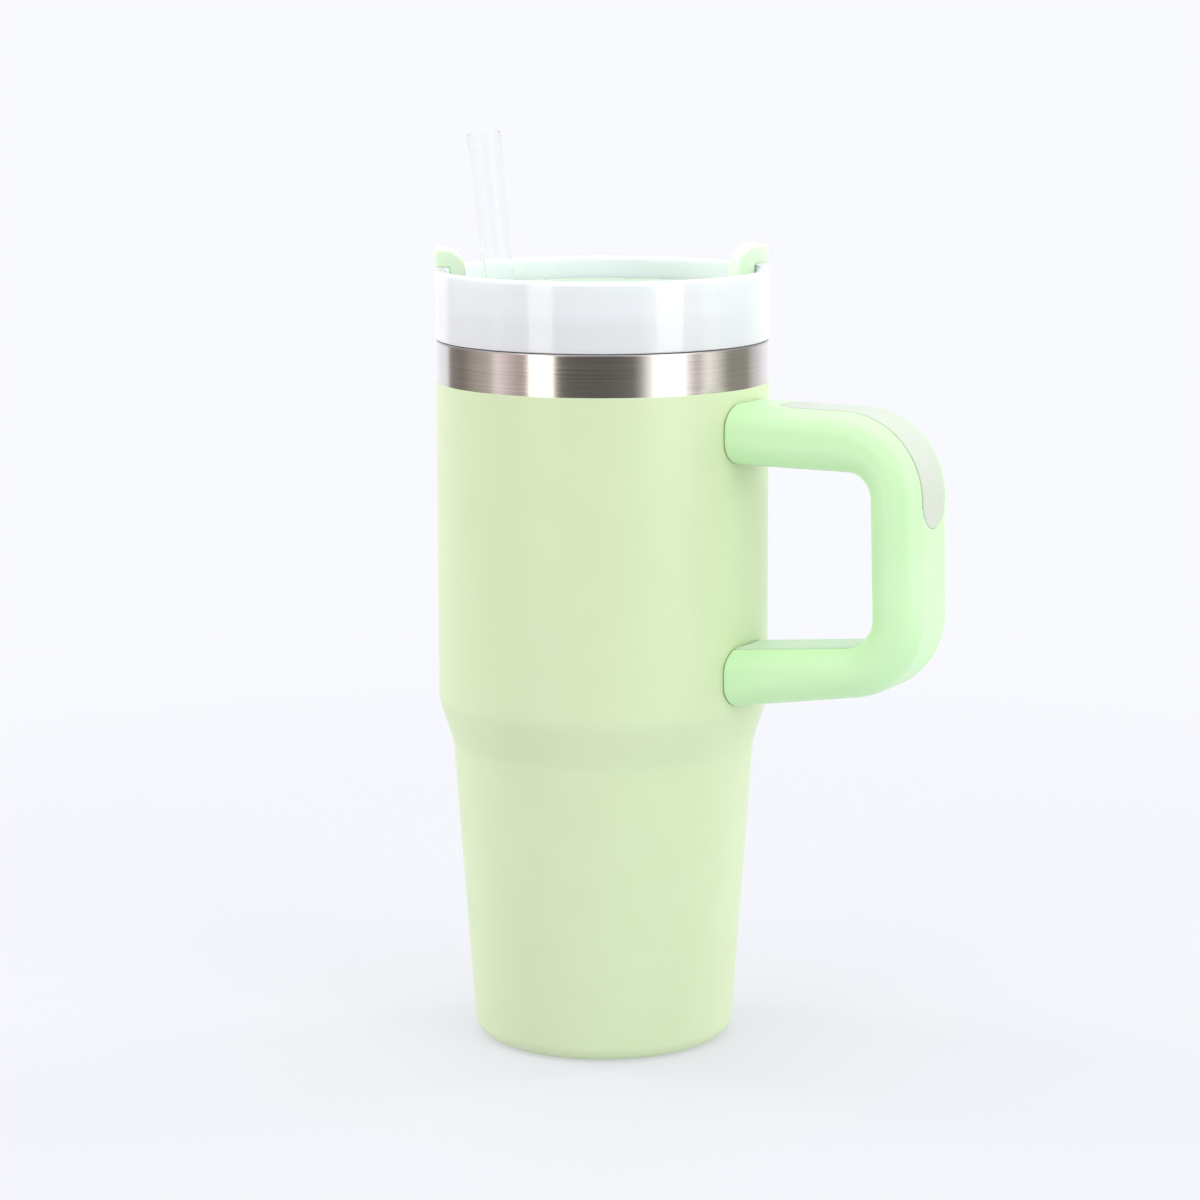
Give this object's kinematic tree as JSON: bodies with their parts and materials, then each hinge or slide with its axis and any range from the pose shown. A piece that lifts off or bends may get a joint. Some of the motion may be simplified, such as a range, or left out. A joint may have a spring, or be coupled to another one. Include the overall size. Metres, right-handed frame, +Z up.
{
  "type": "insulated travel mug",
  "caption": "Tapered insulated steel travel mug with a side handle, a screw lid with a turning cover and a clear drinking straw.",
  "frame": {"origin": "centre of the foot, on the surface the mug stands on", "axes": "+Z up along the mug's axis, +X towards the handle, +Y completes the right-handed set"},
  "size_m": [0.1411, 0.088, 0.2429],
  "materials": {
    "powder_coat": "satin powder coat on steel, bare brushed band at the top",
    "bare_steel": "brushed",
    "base_steel": "brushed",
    "seal_glass": "fused bead",
    "getter_metal": "sintered",
    "bracket_steel": "plain",
    "pad_rubber": "soft",
    "handle_plastic": "satin",
    "strip_plastic": "satin",
    "grip_rubber": "matt",
    "screw_steel": "plain",
    "silicone": "matt silicone",
    "lid_plastic": "glossy, translucent",
    "pin_plastic": "glossy",
    "cover_plastic": "glossy",
    "straw_plastic": "clear"
  },
  "bodies": {
    "mug": {"outer_shell": "powder_coat", "inner_liner": "bare_steel", "base_disc": "base_steel", "vacuum_seal": "seal_glass", "getter": "getter_metal", "upper_bracket": "bracket_steel", "lower_bracket": "bracket_steel", "handle_pads": "pad_rubber", "handle_shell": "handle_plastic", "handle_inner_cover": "strip_plastic", "grip_inlay": "grip_rubber", "handle_screws": "screw_steel"},
    "gasket_ring": {"lid_gasket": "silicone"},
    "lid": {"lid_body": "lid_plastic", "pivot_pin": "pin_plastic", "pivot_washer": "silicone", "straw_seal": "silicone"},
    "cover": {"rotating_cover": "cover_plastic", "sip_seal": "silicone"},
    "straw": {"straw": "straw_plastic"}
  },
  "joints": [
    {"name": "lid_lift", "type": "slide", "parent": "mug", "child": "gasket_ring", "axis": [0, 0, 1], "range_m": [0, 0.0158]},
    {"name": "lid_turn", "type": "hinge", "parent": "gasket_ring", "child": "lid", "pos_m": [0, 0, 0.19], "axis": [0, 0, 1], "range_deg": [0, 1260]},
    {"name": "cover_turn", "type": "hinge", "parent": "lid", "child": "cover", "pos_m": [0, 0, 0.1985], "axis": [0, 0, 1], "range_deg": [-110, 0]},
    {"name": "straw_slide", "type": "slide", "parent": "lid", "child": "straw", "axis": [-0.083, -0.0479, 0.9954], "range_m": [0, 0.2]}
  ],
  "couplings": [
    {"joint": "lid_lift", "follows": "lid_turn", "m_per_rad": 0.0007162}
  ]
}
